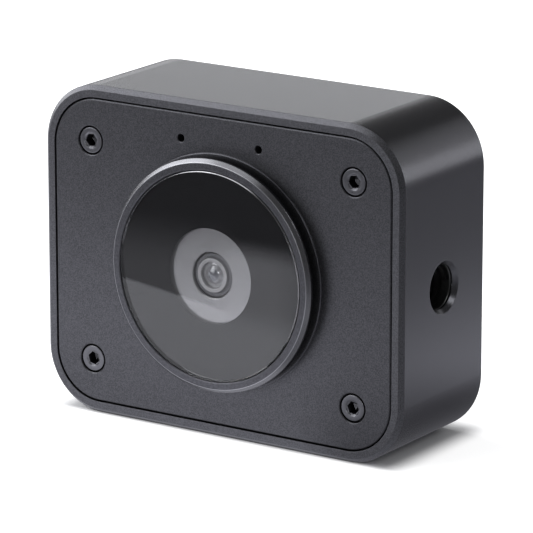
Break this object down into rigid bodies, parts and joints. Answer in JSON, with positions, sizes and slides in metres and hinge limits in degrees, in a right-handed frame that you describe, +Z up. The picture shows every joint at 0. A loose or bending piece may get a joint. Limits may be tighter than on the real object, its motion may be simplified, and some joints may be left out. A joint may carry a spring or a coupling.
{
  "type": "desk camera",
  "caption": "Compact desk video camera: milled metal case with a screwed front panel, a round glass lens disc, microphone holes, camera threads and a cable socket.",
  "frame": {"origin": "middle of the overall box, on the plane that the case stands on", "axes": "+X along the width, towards the side with the camera thread; +Y from the lens towards the back; +Z up"},
  "size_m": [0.06, 0.0242, 0.048],
  "materials": {
    "case_metal": "bead-blasted, dark grey anodised",
    "panel_metal": "bead-blasted, dark grey anodised",
    "bezel_metal": "fine turned and blasted, dark grey anodised",
    "screw_steel": "black oxide steel",
    "insert_steel": "blackened steel",
    "gasket_rubber": "black silicone rubber",
    "cover_glass": "clear, polished, coated",
    "black_print": "black ceramic print",
    "tape": "black double-sided tape",
    "surround_plastic": "light grey, fine texture",
    "foam": "black closed-cell foam",
    "barrel_plastic": "matt black moulded plastic",
    "lens_glass": "coated optical glass",
    "coil_copper": "enamelled copper wire",
    "magnet_metal": "nickel-plated magnet",
    "yoke_metal": "plated steel can",
    "spring_metal": "etched copper alloy",
    "module_plastic": "black liquid-crystal polymer",
    "filter_glass": "blue-green infrared cut glass",
    "sensor_silicon": "silicon under glass",
    "board_laminate": "glass laminate, black solder mask",
    "spacer_brass": "nickel-free machined brass",
    "board_screw_steel": "zinc-plated steel",
    "chip_plastic": "moulded epoxy",
    "small_chip": "ceramic",
    "inductor_body": "pressed ferrite",
    "thermal_silicone": "soft blue silicone",
    "socket_plastic": "natural polymer",
    "flat_cable": "amber polyimide film",
    "mic_metal": "gold-plated can",
    "boot_silicone": "soft silicone",
    "mic_mesh": "woven acoustic mesh",
    "usb_steel": "nickel-plated stainless steel",
    "usb_plastic": "black polymer with gold contacts"
  },
  "bodies": {
    "camera_body": {"housing": "case_metal", "side_thread_insert": "insert_steel", "base_thread_insert": "insert_steel", "front_panel": "panel_metal", "panel_screws": "screw_steel", "panel_gasket": "gasket_rubber", "bezel_base": "bezel_metal", "bezel_lock_ring": "bezel_metal", "bezel_ring": "bezel_metal", "glass_adhesive": "tape", "glass_mask": "black_print", "cover_glass": "cover_glass", "lens_surround": "surround_plastic", "light_seal": "foam", "focus_magnets": "magnet_metal", "focus_yoke": "yoke_metal", "spring_frame": "module_plastic", "spring_upper": "spring_metal", "spring_lower": "spring_metal", "module_base": "module_plastic", "ir_filter": "filter_glass", "image_sensor": "sensor_silicon", "sensor_board": "board_laminate", "main_board": "board_laminate", "board_spacers": "spacer_brass", "board_screws": "board_screw_steel", "processor": "chip_plastic", "thermal_pad": "thermal_silicone", "memory_chips": "chip_plastic", "power_inductors": "inductor_body", "board_chips": "small_chip", "sensor_cable_socket": "socket_plastic", "main_cable_socket": "socket_plastic", "link_cable": "flat_cable", "mic_meshes": "mic_mesh", "mic_boots": "boot_silicone", "microphones": "mic_metal", "usb_shell": "usb_steel", "usb_tongue": "usb_plastic", "usb_seal": "gasket_rubber"},
    "focus_group": {"lens_barrel": "barrel_plastic", "lens_front": "lens_glass", "lens_middle": "lens_glass", "lens_rear": "lens_glass", "lens_spacers": "barrel_plastic", "lens_carrier": "module_plastic", "focus_coil": "coil_copper"}
  },
  "joints": [
    {"name": "focus_slide", "type": "slide", "parent": "camera_body", "child": "focus_group", "axis": [0, -1, 0], "range_m": [0, 0.0003], "stiffness_N_per_m": 30, "deforming": ["spring_upper", "spring_lower"]}
  ]
}
